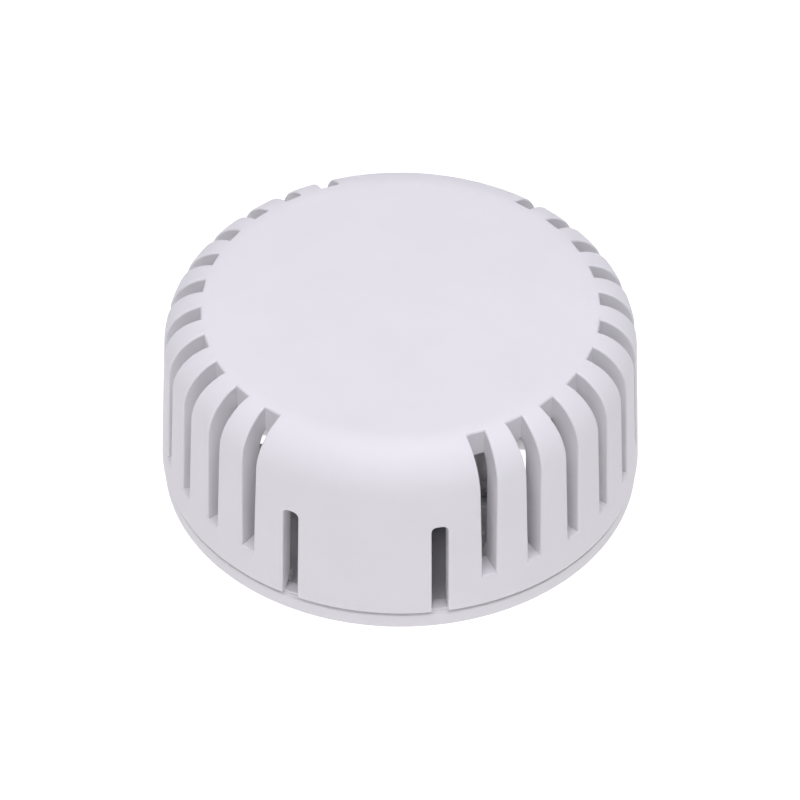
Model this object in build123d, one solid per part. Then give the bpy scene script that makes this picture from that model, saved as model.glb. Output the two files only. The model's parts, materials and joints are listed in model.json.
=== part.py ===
from build123d import *
import os
from math import cos, radians, sin, tan

# A round indoor alarm siren, in millimetres. The origin is the centre of the base plate's back face,
# which lies on the wall. +Z points away from the wall, and the cover's blank front is at -Y.

# ---- Driving dimensions --------------------------------------------------------------------------
# Outer form
base_radius = 49.6            # edge flange of the base plate
cover_foot_radius = 50.0      # cover at its lower edge
cover_top_radius = 48.2       # where the drafted wall would meet the flat top
height = 43.8                 # wall to the flat top
corner_radius = 10.3          # outer rounding between wall and top
flange_height = 3.5           # visible band of the base plate
cover_edge_z = 4.3            # lower edge of the cover
shadow_gap_radius = 48.8      # step of the base plate behind the shadow gap
shell = 2.2                   # wall of the cover
gap = 0.1                     # play between faces that nearly touch
past = 1.0                    # cutters run past the faces they cut by this much
root = 0.2                    # added pieces reach into their neighbour by this much

# Sound slots
slot_count = 11               # on each side of the blank front
slot_pitch = 12.0             # degrees
slot_first = 30.0             # degrees from the front
slot_width = 3.0              # at the slot's floor
slot_draft = 0.75             # degrees that each side wall leans outwards towards the top
slot_floor_z = 11.7
slot_inner_radius = 40.9
slot_depth = 5.6              # depth of a slot's side walls
slot_collar = 1.25            # thickness of those walls
wall_reach = 30.0             # inner end of the cutters that go right through the wall

# Snap tab
tab_slot_angle = 18.0         # degrees from the front to each open slot's middle
tab_slot_width = 3.4
tab_slot_top_z = 27.0
tab_slot_corner = 1.2
tab_root_gap = 0.3            # cut across the tab's root, where the real tab bends
tab_rib = 3.4                 # wall thickness along the tab's two long edges
tab_root_z = 25.4
tab_wall_middle = 48.6        # radius in the middle of the tab's wall
tab_foot_outer = 47.6
tab_foot_inner = 45.8
tab_foot_z = 1.9
tab_foot_angle = 12.0         # degrees each side of the front
catch_nose_radius = 47.9
catch_nose_angle = 8.0
catch_ledge_z = 3.0           # underside of the ledge that the nose catches under

# Base plate
floor_back_z = 0.6            # the floor is set back from the wall, the edge ring and pads touch it
floor_top_z = 2.6
ring_inner_radius = 43.0
rim_outer_radius = 46.3
rim_inner_radius = 44.9
rim_top_z = 7.0
rim_gap_angle = 20.5          # the rim stops this far each side of the front
flange_round = 0.4
pocket_floor_z = 1.4
tab_pocket_room = 1.8         # space behind the snap tab's foot for it to spring back
tongue_angle = 22.0           # degrees each side of the back
tongue_half_angle = 5.0
tongue_top_z = 10.3           # where the tongues end inside the cover's wall
post_gusset = 1.6             # how far the gussets stand out from a screw post
gusset_thickness = 1.0
board_post_radius = 2.8
pilot_floor_z = 1.6           # bottom of the blind holes for self-tapping screws
recess_width = 0.6            # arms of the screws' cross recess
mount_slot_length = 12.0
mount_slot_width = 6.0
mount_slot_corner = 1.5
right_slot_centre = (24.5, 1.0)
left_slot_centre = (-25.0, 0.0)
mount_pad = 2.0               # pad around each mounting slot
mount_lip = 0.6               # height of the pad above the floor
cable_entry_centre = (-27.0, 17.0)
cable_entry_size = (12.0, 9.0)
cable_entry_corner = 2.0
cable_lip = 1.6               # height of the rim round the cable entry
cable_lip_width = 1.2

# Circuit board
board_bottom_z = 5.5
board_thickness = 1.6
board_top_z = board_bottom_z + board_thickness
board_half_width = 18.0
board_front_y = -4.0
board_back_y = 38.0
board_corner_cut = 6.0
board_screw_places = [(-4.6, 35.0), (9.6, 20.4)]
board_screw_radius = 1.0
board_screw_head = 2.3
board_screw_length = 4.6
board_clip_x = 10.0           # the two hooks over the board's front edge
board_clip_half = 2.0
board_clip_thickness = 1.6
pin_tail_z = board_bottom_z - 1.4
terminal_hole = 0.65          # radii of the plated holes
leg_hole = 0.45
header_hole = 0.55

# Sounder
sounder_y = -10.0
sounder_radius = 20.5
sounder_bottom_z = 10.0
sounder_body_top_z = 24.0
sounder_top_z = 26.0
sounder_wall = 1.6
sounder_seat_z = 20.6
seat_inner_radius = 16.2
diaphragm_radius = 18.5
diaphragm_thickness = 0.3
piezo_radius = 12.5
piezo_thickness = 0.25
seal_thickness = 0.6
ear_place = (20.9, -21.0)
ear_radius = 3.7
ear_bottom_z = 8.4
ear_height = 4.2
ear_seat_z = ear_bottom_z + 2.0
ear_web_length = 7.0          # block that joins each ear to the cup
ear_web_width = 6.4
ear_screw_head = 2.6
ear_screw_length = 7.0
ear_screw_shank = 1.25
sounder_pin_places = [(-5.0, 2.5), (5.0, 2.5)]
sounder_wire = 0.4            # radius of the contact wires
wire_bend_radius = 1.2
port_radius = 3.0
port_collar = 1.0
small_port_count = 6
small_port_radius = 2.0
small_port_circle = 10.5

# Terminal block
terminal_count = 4
terminal_pitch = 5.0
terminal_x = -12.5            # middle of the screws
terminal_first_y = 15.8
terminal_depth = 8.4
terminal_height = 10.0
terminal_top_z = board_top_z + terminal_height
terminal_shelf_z = 15.0       # where the screw heads sit
terminal_head = 1.6
terminal_head_height = 1.6
terminal_shank = 1.2
terminal_leg_x = -10.1
cage_x0 = -14.6
cage_x1 = -10.6
cage_z = 8.5
cage_height = 4.1
cage_half = 1.75
cage_wall = 0.8               # thickness of a cage's bottom and top
cage_side = 0.4               # thickness of its sides
strip_z = 11.2                # underside of the contact strips
strip_thickness = 0.4

# Tamper switch
tamper_place = (13.0, 31.0)
tamper_body_side = 6.0
tamper_body_height = 3.5
tamper_button_radius = 1.7
tamper_button_top_z = board_top_z + 5.0
tamper_dome_z = board_top_z + 1.0
tamper_dome_radius = 2.3
tamper_post_radius = 3.4
tamper_post_end_z = 21.0
tamper_socket_depth = 3.0
tamper_rib_reach = 5.0        # cross ribs at the post's root
tamper_rib_half = 0.6
spring_radius = 1.8
spring_wire = 0.4
spring_turns = 8

# Other board parts
coil_place = (0.0, 18.2)
coil_radius = 4.5
coil_height = 9.6
coil_cheek = 1.2
coil_core_radius = 2.0
coil_leg_step = 2.5
capacitor_place = (1.6, 28.4)
capacitor_radius = 3.15
capacitor_height = 11.0
capacitor_bottom_z = board_top_z + 0.3
capacitor_leg_step = 1.25
sleeve_thickness = 0.12
leg_radius = 0.25
leg_depth = 0.5               # how far the leads reach into their part
transistor_places = [(8.8, 14.2), (14.6, 14.2)]
transistor_leg_steps = (-1.27, 0.0, 1.27)
transistor_bottom_z = board_top_z + 2.2
transistor_radius = 2.4
transistor_height = 4.6
transistor_flat = 1.3         # distance of the flat face from the middle
chip_place = (6.0, 35.2)
chip_half_x = 1.95
chip_half_y = 2.45
chip_reach = 3.0              # outer ends of the legs
chip_leg_pitch = 1.27
chip_leg = 0.2                # thickness and half width of a leg
chip_leg_z = board_top_z + 0.75
diode_place = (7.6, 26.6)
header_place = (15.4, 22.0)
header_pitch = 2.54
header_top_z = board_top_z + 2.5
header_half = 1.25
pin_half = 0.32               # half the side of a square pin
pin_top_z = header_top_z + 6.0
jumper_height = 6.2
resistor_places = [(-6.2, 14.5), (-6.2, 18.0), (-6.2, 21.5), (6.6, 30.4), (12.2, 36.2), (14.0, 3.5)]
small_capacitor_places = [(-4.4, 25.0), (-4.6, 30.2), (11.0, 26.4)]

os.makedirs("parts", exist_ok=True)


def save(node, *solids):
    """Writes one sub-part to its own STEP file, as a single solid or as a group of separate ones."""
    shape = solids[0] if len(solids) == 1 else Compound(children=list(solids))
    shape.label = node
    export_step(shape, f"parts/{node}.step")


def at_angle(degrees_from_front):
    """A frame turned about the main axis, whose -Y points outwards at that angle from the front."""
    return Rot(0, 0, degrees_from_front)


def span(x0, x1, y0, y1, z0, z1):
    """A box from its two corners."""
    return Pos((x0 + x1) / 2, (y0 + y1) / 2, (z0 + z1) / 2) * Box(x1 - x0, y1 - y0, z1 - z0)


def rod(x, y, radius, z0, z1):
    """An upright cylinder."""
    return Pos(x, y, (z0 + z1) / 2) * Cylinder(radius, z1 - z0)


def ring(outer, inner, z0, z1):
    """An upright ring about the main axis."""
    return rod(0, 0, outer, z0, z1) - rod(0, 0, inner, z0 - 1, z1 + 1)


def sector(outer, inner, z0, z1, middle, half_angle):
    """A piece of a ring, half_angle degrees each side of a place counted from the front."""
    reach = outer / cos(radians(half_angle)) + past
    x = reach * sin(radians(half_angle))
    y = reach * cos(radians(half_angle))
    corners = Polyline((0, 0), (-x, -y), (0, -reach * 1.1), (x, -y), close=True)
    wedge = extrude(make_face(corners), z1 - z0)
    return ring(outer, inner, z0, z1) & (Rot(0, 0, middle) * Pos(0, 0, z0) * wedge)


def rounded_slot(centre, size_x, size_y, corner, z0, z1):
    """A cutter for a rectangular opening with rounded corners."""
    return Pos(centre[0], centre[1], z0) * extrude(RectangleRounded(size_x, size_y, corner), z1 - z0)


# ---- Cover ---------------------------------------------------------------------------------------
def dome(inset, floor_z):
    """The space inside the cover's outer surface moved inwards by inset, from floor_z up."""
    lean = (cover_foot_radius - cover_top_radius) / (height - cover_edge_z)
    foot = cover_foot_radius + lean * (cover_edge_z - floor_z) - inset
    peak = (cover_top_radius - inset, height - inset)
    outline = Polyline((0, floor_z), (foot, floor_z), peak, (0, height - inset), close=True)
    face = make_face(outline)
    corner = face.vertices().sort_by(lambda v: v.X + v.Y)[-1]
    return revolve(Plane.XZ * fillet(corner, corner_radius - inset), Axis.Z)


def slot_angles():
    """Angles from the front to every sound slot."""
    one_side = [slot_first + slot_pitch * i for i in range(slot_count)]
    return one_side + [-angle for angle in one_side]


def radial_box(angle, width, inner_radius, z0, z1):
    """A box that reaches outwards through the wall at an angle from the front."""
    outer = cover_foot_radius + past
    return at_angle(angle) * span(-width / 2, width / 2, -outer, -inner_radius, z0, z1)


def sound_slot_box(angle, width, inner_radius, z0, z1):
    """A radial cutter whose sides spread upwards. Its width is the one at the slot's floor."""
    low, high = [width / 2 + (z - slot_floor_z) * tan(radians(slot_draft)) for z in (z0, z1)]
    face = make_face(Polyline((-low, z0), (low, z0), (high, z1), (-high, z1), close=True))
    outer = cover_foot_radius + past
    return at_angle(angle) * extrude(Plane.XZ.offset(inner_radius) * face, outer - inner_radius)


def tab_slot_cutter(side):
    """One of the two slots, open at the bottom, that free the snap tab. side is -1 or 1."""
    box = radial_box(side * tab_slot_angle, tab_slot_width, wall_reach, -past, tab_slot_top_z)
    long_top_edges = box.edges().group_by(Axis.Z)[-1].sort_by(SortBy.LENGTH)[-2:]
    return fillet(long_top_edges, tab_slot_corner)


def tab_zone(top_z):
    """The stretch of wall between the two tab slots, from below the cover up to top_z."""
    return sector(cover_foot_radius + past, wall_reach, -past, top_z, 0, tab_slot_angle)


def cover_blank():
    """Cover and snap tab as one moulding, before the tab is parted from it."""
    body = dome(0, cover_edge_z) - dome(shell, 0)
    deep = dome(0, slot_floor_z - slot_collar) - dome(slot_depth, 0)
    wide = slot_width + 2 * slot_collar
    inner = slot_inner_radius - slot_collar
    body = body + [deep & sound_slot_box(a, wide, inner, 0, height + past) for a in slot_angles()]
    slot = (slot_width, slot_inner_radius, slot_floor_z, height + past)
    return body - [sound_slot_box(a, *slot) for a in slot_angles()]


def tab_edge_ribs():
    """Thicker wall along both sides of both tab slots."""
    zone = dome(0, cover_edge_z) - dome(tab_rib, 0)
    rib_width = tab_slot_width + 2 * slot_collar
    top = tab_slot_top_z + slot_collar
    ribs = []
    for side in (-1, 1):
        rib_box = radial_box(side * tab_slot_angle, rib_width, wall_reach, rim_top_z + 0.5, top)
        ribs.append(zone & rib_box)
    return ribs


def locating_tongue(angle):
    """A tongue below the cover's edge that drops into a socket of the base plate."""
    inner = rim_outer_radius + 0.3
    return sector(catch_nose_radius, inner, tab_foot_z, tongue_top_z, angle, tongue_half_angle)


def tamper_post():
    """A post under the cover's top that holds the upper end of the tamper spring."""
    x, y = tamper_place
    ceiling = height - shell + root
    post = rod(x, y, tamper_post_radius, tamper_post_end_z, ceiling)
    reach = tamper_rib_reach
    rib = span(-reach, reach, -tamper_rib_half, tamper_rib_half, tamper_post_end_z + 9, ceiling)
    for turn in (0, 90):
        post = post + Pos(x, y, 0) * Rot(0, 0, turn) * rib
    socket_top_z = tamper_post_end_z + tamper_socket_depth
    socket = rod(x, y, spring_radius + 0.5, tamper_post_end_z - past, socket_top_z)
    return post - socket


def tab_catch():
    """The snap tab's foot, with the nose that catches under the base plate's ledge."""
    foot = sector(tab_foot_outer, tab_foot_inner, tab_foot_z, rim_top_z + 1, 0, tab_foot_angle)
    nose = sector(catch_nose_radius, tab_foot_inner, tab_foot_z, catch_ledge_z - gap, 0, catch_nose_angle)
    root = sector(tab_wall_middle, tab_foot_inner, cover_edge_z, rim_top_z + 1, 0, tab_foot_angle)
    return foot + nose + root


def make_cover_and_tab():
    """Returns the cover and its snap tab, parted at the tab's root."""
    blank = cover_blank() + tab_edge_ribs()
    blank = blank - [tab_slot_cutter(-1), tab_slot_cutter(1)]
    tab = (blank & tab_zone(tab_root_z)) + tab_catch()
    cover = blank - tab_zone(tab_root_z + tab_root_gap)
    tongues = [locating_tongue(180 - tongue_angle), locating_tongue(180 + tongue_angle)]
    return cover + tongues + tamper_post(), tab


# ---- Base plate ----------------------------------------------------------------------------------
def base_shell():
    """Floor, edge flange, step behind the shadow gap, and the rim inside the cover."""
    flange = ring(base_radius, ring_inner_radius, 0, flange_height)
    outer_edges = flange.edges().filter_by(GeomType.CIRCLE).group_by(SortBy.RADIUS)[-1]
    flange = fillet(outer_edges, flange_round)
    body = flange + rod(0, 0, ring_inner_radius + past, floor_back_z, floor_top_z)
    body = body - rod(0, 0, rim_outer_radius, floor_top_z, flange_height + past)
    body = body + ring(shadow_gap_radius, rim_outer_radius, floor_top_z, cover_edge_z - gap)
    rim = ring(rim_outer_radius, rim_inner_radius, floor_top_z - root, rim_top_z)
    outer = rim_outer_radius + past
    rim_gap = sector(outer, rim_inner_radius - past, 0, rim_top_z + past, 0, rim_gap_angle)
    return body + (rim - rim_gap)


def catch_pockets():
    """Cutters for the snap tab's foot, the space under its ledge, and the two tongue sockets."""
    lip = catch_nose_radius + gap
    inner = tab_foot_inner - tab_pocket_room
    pocket = sector(lip, inner, pocket_floor_z, rim_top_z, 0, tab_foot_angle + 2)
    outer = shadow_gap_radius - gap
    undercut = sector(outer, tab_foot_inner, pocket_floor_z, catch_ledge_z, 0, tab_foot_angle)
    sockets = []
    for side in (-1, 1):
        middle = 180 + side * tongue_angle
        half_angle = tongue_half_angle + 1
        sockets.append(sector(lip, rim_outer_radius, pocket_floor_z, rim_top_z, middle, half_angle))
    return [pocket, undercut] + sockets


def mounting_slots():
    """Place and size of the two screw slots: one runs up and down, the other from side to side."""
    right = (right_slot_centre, mount_slot_width, mount_slot_length)
    left = (left_slot_centre, mount_slot_length, mount_slot_width)
    return [right, left]


def base_post(x, y, radius, top_z):
    """A screw post with four small gussets."""
    post = rod(x, y, radius, floor_top_z - root, top_z)
    reach = radius + post_gusset
    half = gusset_thickness / 2
    rib_top = floor_top_z + (top_z - floor_top_z) * 0.6
    gusset = span(-reach, reach, -half, half, floor_top_z - root, rib_top)
    for turn in (0, 90):
        post = post + Pos(x, y, 0) * Rot(0, 0, turn) * gusset
    return post


def board_clip(side):
    """A fixed hook over the front edge of the circuit board."""
    x0 = side * board_clip_x - board_clip_half
    x1 = side * board_clip_x + board_clip_half
    front = board_front_y - board_clip_thickness
    top = board_top_z + 1.2
    low = floor_top_z - root
    stem = span(x0, x1, front, board_front_y - gap, low, top)
    hook = span(x0, x1, front, board_front_y + 0.7, board_top_z + gap, top)
    ledge = span(x0, x1, front, board_front_y + 1.4, low, board_bottom_z)
    return stem + hook + ledge


def make_base_plate():
    body = base_shell()
    for (centre, size_x, size_y) in mounting_slots():
        pad_x = size_x + 2 * mount_pad
        pad_y = size_y + 2 * mount_pad
        pad_corner = mount_slot_corner + mount_pad
        body = body + rounded_slot(centre, pad_x, pad_y, pad_corner, 0, floor_top_z + mount_lip)
    entry_x, entry_y = cable_entry_size
    lip_x = entry_x + 2 * cable_lip_width
    lip_y = entry_y + 2 * cable_lip_width
    lip_corner = cable_entry_corner + cable_lip_width
    lip_z = floor_top_z + cable_lip
    body = body + rounded_slot(cable_entry_centre, lip_x, lip_y, lip_corner, floor_back_z, lip_z)
    for side in (-1, 1):
        x, y = side * ear_place[0], ear_place[1]
        body = body + base_post(x, y, ear_radius - 0.3, ear_bottom_z) + board_clip(side)
        body = body - rod(x, y, ear_screw_shank + 0.05, pilot_floor_z, ear_bottom_z + past)
    for x, y in board_screw_places:
        body = body + base_post(x, y, board_post_radius, board_bottom_z)
        body = body - rod(x, y, board_screw_radius + 0.05, pilot_floor_z, board_bottom_z + past)
    for (centre, size_x, size_y) in mounting_slots():
        body = body - rounded_slot(centre, size_x, size_y, mount_slot_corner, -past, rim_top_z)
    entry = rounded_slot(cable_entry_centre, entry_x, entry_y, cable_entry_corner, -past, rim_top_z)
    return body - entry - catch_pockets()


# ---- Circuit board -------------------------------------------------------------------------------
def pin_holes():
    """Centre and radius of every plated hole in the board."""
    round_legs = tamper_leg_places() + coil_leg_places() + capacitor_leg_places()
    round_legs += transistor_leg_places()
    holes = [(terminal_leg_x, y, terminal_hole) for y in terminal_places()]
    holes += [(x, y, sounder_wire + gap) for x, y in sounder_pin_places]
    holes += [(x, y, leg_hole) for x, y in round_legs]
    holes += [(x, y, header_hole) for x, y in header_pin_places()]
    return holes


def make_circuit_board():
    w = board_half_width
    cut = board_corner_cut
    outline = Polyline(
        (-w, board_front_y), (w, board_front_y), (w, board_back_y - cut), (w - cut, board_back_y),
        (cut - w, board_back_y), (-w, board_back_y - cut), close=True,
    )
    board = Pos(0, 0, board_bottom_z) * extrude(make_face(outline), board_thickness)
    holes = pin_holes() + [(x, y, board_screw_radius + 0.25) for x, y in board_screw_places]
    return board - [rod(x, y, r, board_bottom_z - past, board_top_z + past) for x, y, r in holes]


def pan_screw(x, y, seat_z, head_radius, head_height, shank_radius, length):
    """A self-tapping pan-head screw with a cross recess, its head resting at seat_z."""
    head = rod(x, y, head_radius, seat_z, seat_z + head_height)
    head = fillet(head.edges().group_by(Axis.Z)[-1], head_height * 0.45)
    shank = rod(x, y, shank_radius, seat_z - length, seat_z)
    shank = chamfer(shank.edges().group_by(Axis.Z)[0], shank_radius * 0.6)
    recess_z = seat_z + head_height * 0.4
    top_z = seat_z + head_height + past
    arm = head_radius * 0.5
    half = recess_width / 2
    cross = span(x - arm, x + arm, y - half, y + half, recess_z, top_z)
    cross = cross + span(x - half, x + half, y - arm, y + arm, recess_z, top_z)
    return head + shank - cross


# ---- Sounder -------------------------------------------------------------------------------------
def sounder_ring(outer, inner, z0, z1):
    return Pos(0, sounder_y, 0) * ring(outer, inner, z0, z1)


def make_sounder_body():
    """A cup with a seat for the diaphragm, and two screw ears."""
    cup = rod(0, sounder_y, sounder_radius, sounder_bottom_z, sounder_body_top_z)
    top_z = sounder_body_top_z + past
    cup = cup - rod(0, sounder_y, seat_inner_radius, sounder_bottom_z + sounder_wall, top_z)
    cup = cup - rod(0, sounder_y, diaphragm_radius + 0.4, sounder_seat_z, top_z)
    for side in (-1, 1):
        x, y = side * ear_place[0], ear_place[1]
        ear_top_z = ear_bottom_z + ear_height
        ear = rod(x, y, ear_radius, ear_bottom_z, ear_top_z)
        web_z = (sounder_bottom_z + ear_top_z) / 2
        web = Box(ear_web_length, ear_web_width, ear_top_z - sounder_bottom_z)
        web = Pos(x * 0.84, y + 2.1, web_z) * Rot(0, 0, -side * 28) * web
        web = web - rod(0, sounder_y, sounder_radius - 0.5, 0, height)
        cup = cup + ear + web
        cup = cup - rod(x, y, ear_screw_head + 0.35, ear_seat_z, height)
        cup = cup - rod(x, y, ear_screw_shank + 0.3, 0, height)
    for x, y in sounder_pin_places:
        hole_top_z = sounder_bottom_z + sounder_wall + past
        cup = cup - rod(x, y, sounder_wire + gap, sounder_bottom_z - past, hole_top_z)
    return cup


def make_sounder_cap():
    """The ported front: a plate on a skirt that clamps the diaphragm's edge."""
    plate = rod(0, sounder_y, sounder_radius, sounder_body_top_z, sounder_top_z)
    plate = fillet(plate.edges().group_by(Axis.Z)[-1], 0.8)
    skirt_bottom_z = diaphragm_top_z() + gap / 2
    skirt_inner = seat_inner_radius + 0.4
    skirt_top_z = sounder_body_top_z + root
    skirt = sounder_ring(diaphragm_radius + 0.3, skirt_inner, skirt_bottom_z, skirt_top_z)
    collar_bottom_z = sounder_body_top_z - port_collar
    collar = sounder_ring(port_radius + 1.2, port_radius, collar_bottom_z, sounder_top_z)
    cap = plate + skirt + collar - rod(0, sounder_y, port_radius, 0, height)
    for i in range(small_port_count):
        turn = Pos(0, sounder_y, 0) * Rot(0, 0, 360 / small_port_count * (i + 0.5))
        port = rod(0, small_port_circle, small_port_radius, sounder_body_top_z - past, height)
        cap = cap - turn * port
    return cap


def diaphragm_bottom_z():
    return sounder_seat_z + seal_thickness


def diaphragm_top_z():
    return diaphragm_bottom_z() + diaphragm_thickness


def contact_wire(points):
    """A round wire bent along straight runs with rounded corners."""
    path = FilletPolyline(*points, radius=wire_bend_radius)
    start = Plane(origin=path @ 0, z_dir=path % 0)
    return sweep(start * Circle(sounder_wire), path=path)


def make_sounder_contacts():
    """Two spring wires: one touches the ceramic, the other the brass beside it."""
    left, right = sounder_pin_places
    touch_brass = diaphragm_bottom_z() - sounder_wire - gap / 2
    touch_ceramic = touch_brass - piezo_thickness
    to_ceramic = contact_wire([
        (left[0], left[1], pin_tail_z),
        (left[0], left[1], 14.0),
        (left[0] + 2.0, left[1] - 8.5, touch_ceramic),
        (left[0] + 2.4, left[1] - 11.0, touch_ceramic - 0.4),
    ])
    to_brass = contact_wire([
        (right[0], right[1], pin_tail_z),
        (right[0], right[1], 15.0),
        (right[0] + 2.4, right[1] - 0.6, touch_brass),
        (right[0] + 4.6, right[1] - 1.8, touch_brass - 0.5),
    ])
    return [to_ceramic, to_brass]


# ---- Terminal block ------------------------------------------------------------------------------
def terminal_places():
    return [terminal_first_y + terminal_pitch * i for i in range(terminal_count)]


def make_terminal_housing():
    ends = terminal_places()
    half = terminal_depth / 2
    y0 = ends[0] - terminal_pitch / 2 - 0.3
    y1 = ends[-1] + terminal_pitch / 2 + 0.3
    block = span(terminal_x - half, terminal_x + half, y0, y1, board_top_z, terminal_top_z)
    block = chamfer(block.edges().filter_by(Axis.Y).group_by(Axis.Z)[-1], 0.8)
    leg_x0, leg_x1 = terminal_leg_x - 0.3, terminal_leg_x + 0.3
    cell_top_z = terminal_shelf_z - 0.4
    for y in ends:
        block = block - span(cage_x0 - 0.7, leg_x1, y - 2.0, y + 2.0, cage_z - 0.2, cell_top_z)
        block = block - rod(terminal_x, y, terminal_shank + 0.15, cage_z, terminal_top_z)
        block = block - rod(terminal_x, y, terminal_head + 0.2, terminal_shelf_z, height)
        block = block - span(terminal_x - half - past, cage_x0, y - 1.3, y + 1.3, cage_z + 0.2, strip_z)
        block = block - span(leg_x0, leg_x1, y - 0.6, y + 0.6, board_top_z - past, cage_z)
    return block


def make_terminal_contacts():
    """One bent strip per way: it lies in the cage's window and ends in a solder pin."""
    half = strip_thickness / 2
    top_z = strip_z + strip_thickness
    strips = []
    for y in terminal_places():
        strip = span(cage_x0 - 0.4, terminal_leg_x + half, y - 1.2, y + 1.2, strip_z, top_z)
        leg = span(terminal_leg_x - half, terminal_leg_x + half, y - 0.5, y + 0.5, pin_tail_z, top_z)
        strips.append(strip + leg)
    return strips


def terminal_screw(y):
    """A slotted clamp screw. Each one stands turned a different way."""
    top_z = terminal_shelf_z + terminal_head_height
    head = rod(terminal_x, y, terminal_head, terminal_shelf_z + gap / 2, top_z)
    head = chamfer(head.edges().group_by(Axis.Z)[-1], 0.2)
    shank = rod(terminal_x, y, terminal_shank, strip_z + 0.55, terminal_shelf_z + gap)
    slot = Box(3 * terminal_head, recess_width, terminal_head_height)
    return head + shank - Pos(terminal_x, y, top_z) * Rot(0, 0, 20 * y) * slot


def terminal_cage(y):
    """A brass frame that the screw lifts, to clamp a wire against the contact strip."""
    top_z = cage_z + cage_height
    cage = span(cage_x0, cage_x1, y - cage_half, y + cage_half, cage_z, top_z)
    side = cage_half - cage_side
    window_z = (cage_z + cage_wall, top_z - cage_wall)
    window = span(cage_x0 - past, cage_x1 + past, y - side, y + side, *window_z)
    return cage - window - rod(terminal_x, y, terminal_shank + 0.05, cage_z + 2, height)


# ---- Tamper switch -------------------------------------------------------------------------------
def tamper_leg_places():
    x, y = tamper_place
    return [(x + 3.25 * side, y + 2.25 * end) for side in (-1, 1) for end in (-1, 1)]


def make_tamper_switch_body():
    x, y = tamper_place
    half = tamper_body_side / 2
    body = span(x - half, x + half, y - half, y + half, board_top_z, board_top_z + tamper_body_height)
    body = chamfer(body.edges().filter_by(Axis.Z), 0.5)
    body = body - rod(x, y, tamper_button_radius + 0.05, tamper_dome_z, height)
    return body - rod(x, y, tamper_dome_radius + root, tamper_dome_z - 0.5, tamper_dome_z + 0.4)


def make_tamper_button():
    x, y = tamper_place
    stem = rod(x, y, tamper_button_radius, tamper_dome_z + 0.6, tamper_button_top_z)
    spigot_top_z = tamper_button_top_z + 0.8
    spigot = rod(x, y, spring_radius - spring_wire, tamper_button_top_z - root, spigot_top_z)
    spigot = chamfer(spigot.edges().group_by(Axis.Z)[-1], 0.3)
    return stem + spigot


def make_tamper_dome():
    """A thin sprung cap that snaps through when the button is pressed."""
    x, y = tamper_place
    edge = tamper_dome_radius
    under = [(0, 0.25), (1.4, 0.2), (edge, 0)]
    over = [(edge, 0.1), (1.4, 0.3), (0, 0.35)]
    profile = make_face(Polyline(*under, *over, close=True))
    return Pos(x, y, tamper_dome_z - 0.3) * revolve(Plane.XZ * profile, Axis.Z)


def make_tamper_legs():
    legs = []
    for x, y in tamper_leg_places():
        legs.append(span(x - 0.15, x + 0.15, y - 0.35, y + 0.35, pin_tail_z, board_top_z + 1.6))
    return legs


def make_tamper_spring():
    x, y = tamper_place
    clear = (spring_wire + gap) / 2
    z0 = tamper_button_top_z + clear
    z1 = tamper_post_end_z + tamper_socket_depth - clear
    helix = Helix(pitch=(z1 - z0) / spring_turns, height=z1 - z0, radius=spring_radius)
    start = Plane(origin=helix @ 0, z_dir=helix % 0)
    return Pos(x, y, z0) * sweep(start * Circle(spring_wire / 2), path=helix)


# ---- Other board parts ---------------------------------------------------------------------------
def coil_leg_places():
    x, y = coil_place
    return [(x - coil_leg_step, y), (x + coil_leg_step, y)]


def capacitor_leg_places():
    x, y = capacitor_place
    return [(x - capacitor_leg_step, y), (x + capacitor_leg_step, y)]


def transistor_leg_places():
    return [(x + step, y) for x, y in transistor_places for step in transistor_leg_steps]


def header_pin_places():
    x, y = header_place
    return [(x, y + step * header_pitch) for step in (-1, 0, 1)]


def leads(places, part_bottom_z):
    """Solder leads from below the board up into a part."""
    return [rod(x, y, leg_radius, pin_tail_z, part_bottom_z + leg_depth) for x, y in places]


def leg_holes(places, z):
    """Blind holes that take the tops of the leads, from a part's underside at z."""
    return [rod(x, y, leg_radius + gap / 2, z - past, z + leg_depth + gap) for x, y in places]


def make_coil_core():
    x, y = coil_place
    z0 = board_top_z + root
    z1 = z0 + coil_height
    cheeks = rod(x, y, coil_radius, z0, z0 + coil_cheek) + rod(x, y, coil_radius, z1 - coil_cheek, z1)
    core = cheeks + rod(x, y, coil_core_radius, z0, z1)
    return core - leg_holes(coil_leg_places(), z0)


def make_coil_winding():
    """Layers of fine wire between the core's cheeks, as one sleeve."""
    x, y = coil_place
    z0 = board_top_z + root + coil_cheek + gap
    z1 = board_top_z + root + coil_height - coil_cheek - gap
    winding = rod(x, y, coil_radius - 0.5, z0, z1)
    return winding - rod(x, y, coil_core_radius + gap / 2, z0 - past, z1 + past)


def make_capacitor_can():
    """An aluminium can with a scored cross on its top, which opens under pressure."""
    x, y = capacitor_place
    z0 = capacitor_bottom_z
    z1 = z0 + capacitor_height
    can = rod(x, y, capacitor_radius - sleeve_thickness, z0, z1)
    can = fillet(can.edges().group_by(Axis.Z)[-1], 0.5)
    score = span(-2.2, 2.2, -0.12, 0.12, z1 - 0.15, z1 + past)
    for turn in (0, 90):
        can = can - Pos(x, y, 0) * Rot(0, 0, turn) * score
    return can - leg_holes(capacitor_leg_places(), z0)


def make_capacitor_sleeve():
    x, y = capacitor_place
    z0 = capacitor_bottom_z
    sleeve = rod(x, y, capacitor_radius, z0, z0 + capacitor_height - 0.5)
    return sleeve - rod(x, y, capacitor_radius - sleeve_thickness, z0 - past, height)


def transistor(x, y):
    """A half-round moulded transistor with its flat towards the front."""
    z0 = transistor_bottom_z
    r = transistor_radius
    body = rod(x, y, r, z0, z0 + transistor_height)
    body = body - span(x - r - past, x + r + past, y - r - past, y - transistor_flat, 0, height)
    return body - leg_holes([(x + step, y) for step in transistor_leg_steps], z0)


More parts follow.
